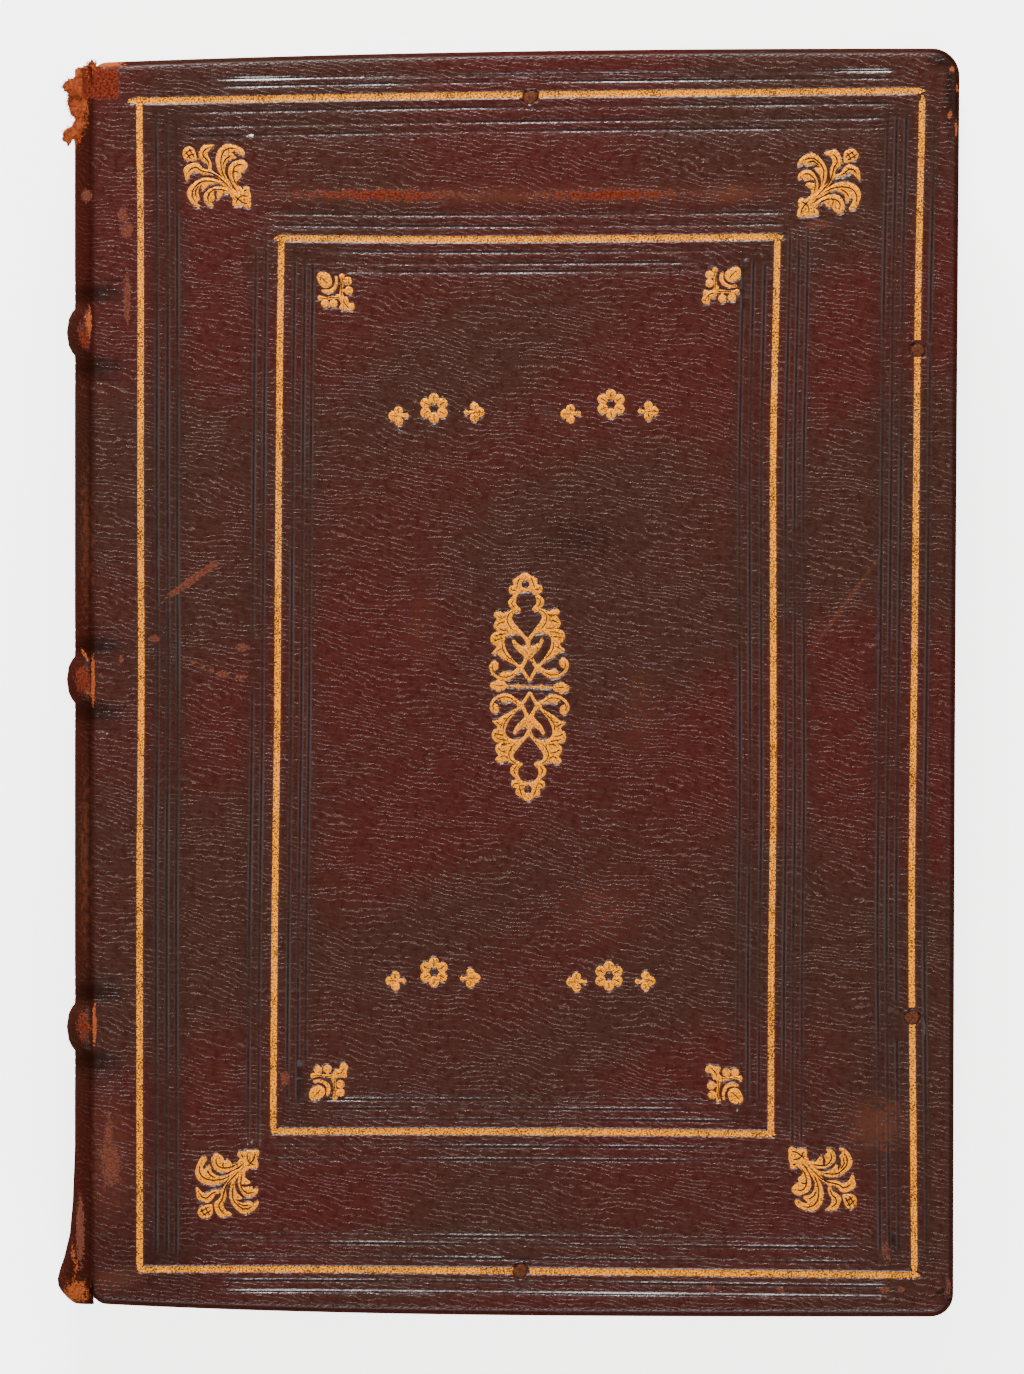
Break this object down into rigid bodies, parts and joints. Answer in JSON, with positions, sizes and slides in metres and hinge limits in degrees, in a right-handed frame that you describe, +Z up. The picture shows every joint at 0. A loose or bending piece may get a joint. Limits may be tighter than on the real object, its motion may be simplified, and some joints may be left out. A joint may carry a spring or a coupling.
{
  "type": "leather-bound book",
  "caption": "Antique quarto book in brown-red goatskin with raised bands, blind and gilt ruled frames, gilt fleurons and a central arabesque; both covers open.",
  "frame": {"origin": "middle of the back cover's outer face, on the surface the book lies on", "axes": "+Z up out of the front cover; +Y towards the head; +X towards the fore-edge"},
  "size_m": [0.1512, 0.2114, 0.033],
  "materials": {
    "goatskin": "burnished dark brown-red goatskin",
    "spine_goatskin": "worn and abraded goatskin",
    "gilding": "worn gold leaf",
    "pasteboard": "grey-brown pasteboard",
    "leaves": "aged rag paper",
    "endpapers": "aged laid paper",
    "tawed_skin": "alum-tawed skin",
    "parchment": "parchment",
    "linen_thread": "waxed linen thread",
    "tie_remains": "dark worn silk"
  },
  "bodies": {
    "text_and_spine": {"endpaper_back": "endpapers", "endpaper_front": "endpapers", "headband_core": "tawed_skin", "headband_sewing": "linen_thread", "kettle_stitch_head": "linen_thread", "kettle_stitch_tail": "linen_thread", "leather_spine": "spine_goatskin", "sewing_support_1": "tawed_skin", "sewing_support_2": "tawed_skin", "sewing_support_3": "tawed_skin", "sewing_thread_1": "linen_thread", "sewing_thread_2": "linen_thread", "sewing_thread_3": "linen_thread", "spine_lining_1": "parchment", "spine_lining_2": "parchment", "spine_lining_3": "parchment", "spine_lining_4": "parchment", "tailband_core": "tawed_skin", "tailband_sewing": "linen_thread", "text_block": "leaves"},
    "front_cover": {"band_slip_1_front": "tawed_skin", "band_slip_2_front": "tawed_skin", "band_slip_3_front": "tawed_skin", "board_front": "pasteboard", "gilt_centrepiece_front": "gilding", "gilt_corner_fleurons_front": "gilding", "gilt_inner_frame_front": "gilding", "gilt_outer_frame_front": "gilding", "gilt_rosettes_front": "gilding", "gilt_small_fleurons_front": "gilding", "gilt_trefoils_front": "gilding", "leather_front": "goatskin", "pastedown_front": "endpapers", "tie_stub_fore_lower_front": "tie_remains", "tie_stub_fore_upper_front": "tie_remains", "tie_stub_head_front": "tie_remains", "tie_stub_tail_front": "tie_remains"},
    "back_cover": {"band_slip_1_back": "tawed_skin", "band_slip_2_back": "tawed_skin", "band_slip_3_back": "tawed_skin", "board_back": "pasteboard", "gilt_centrepiece_back": "gilding", "gilt_corner_fleurons_back": "gilding", "gilt_inner_frame_back": "gilding", "gilt_outer_frame_back": "gilding", "gilt_rosettes_back": "gilding", "gilt_small_fleurons_back": "gilding", "gilt_trefoils_back": "gilding", "leather_back": "goatskin", "pastedown_back": "endpapers", "tie_stub_fore_lower_back": "tie_remains", "tie_stub_fore_upper_back": "tie_remains", "tie_stub_head_back": "tie_remains", "tie_stub_tail_back": "tie_remains"}
  },
  "joints": [
    {"name": "front_cover_hinge", "type": "hinge", "parent": "text_and_spine", "child": "front_cover", "pos_m": [-0.07255, 0, 0.033], "axis": [0, -1, 0], "range_deg": [0, 179.9]},
    {"name": "back_cover_hinge", "type": "hinge", "parent": "text_and_spine", "child": "back_cover", "pos_m": [-0.07255, 0, 0], "axis": [0, 1, 0], "range_deg": [0, 179.9]}
  ]
}
